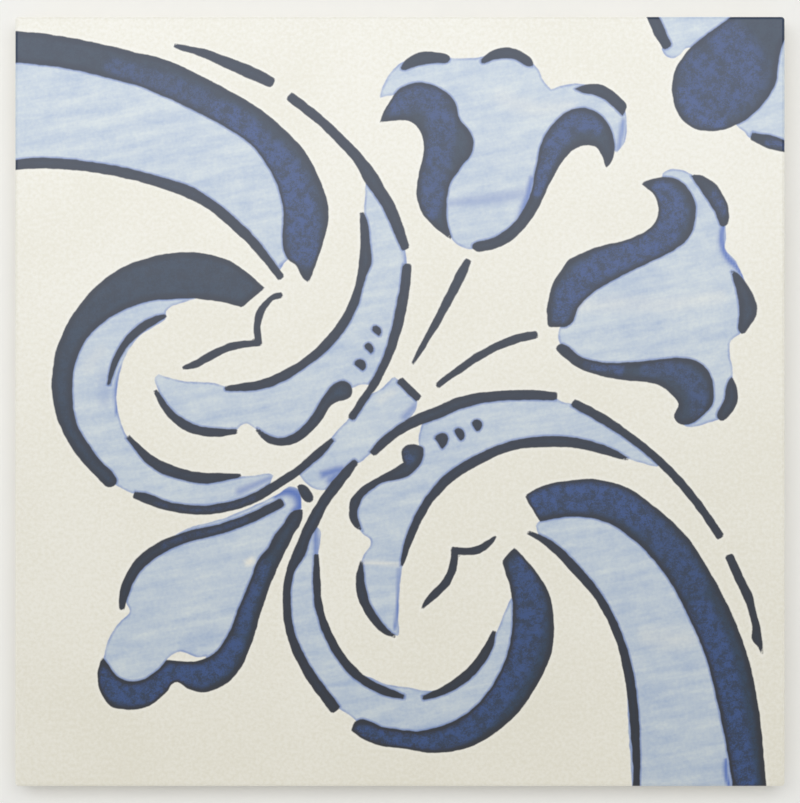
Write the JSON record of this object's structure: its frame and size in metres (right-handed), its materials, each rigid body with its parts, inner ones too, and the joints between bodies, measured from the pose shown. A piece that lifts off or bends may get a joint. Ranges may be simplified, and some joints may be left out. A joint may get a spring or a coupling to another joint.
{
  "type": "porcelain floor tile",
  "caption": "Square glazed floor tile with a painted blue scroll and flower ornament, a soft face arris and a ribbed bedding back.",
  "frame": {"origin": "centre of the bedding plane, the flat of the rim and ribs on the back", "axes": "+Z out of the glazed face; with the tile seen from above as in the picture, +X to the right and +Y up, so the corner rosette of the ornament is at +X +Y"},
  "size_m": [0.197, 0.197, 0.009],
  "materials": {
    "glazed_porcelain": "satin off-white glaze with cobalt brushwork"
  },
  "bodies": {
    "root": {"porcelain_tile": "glazed_porcelain"}
  },
  "joints": []
}
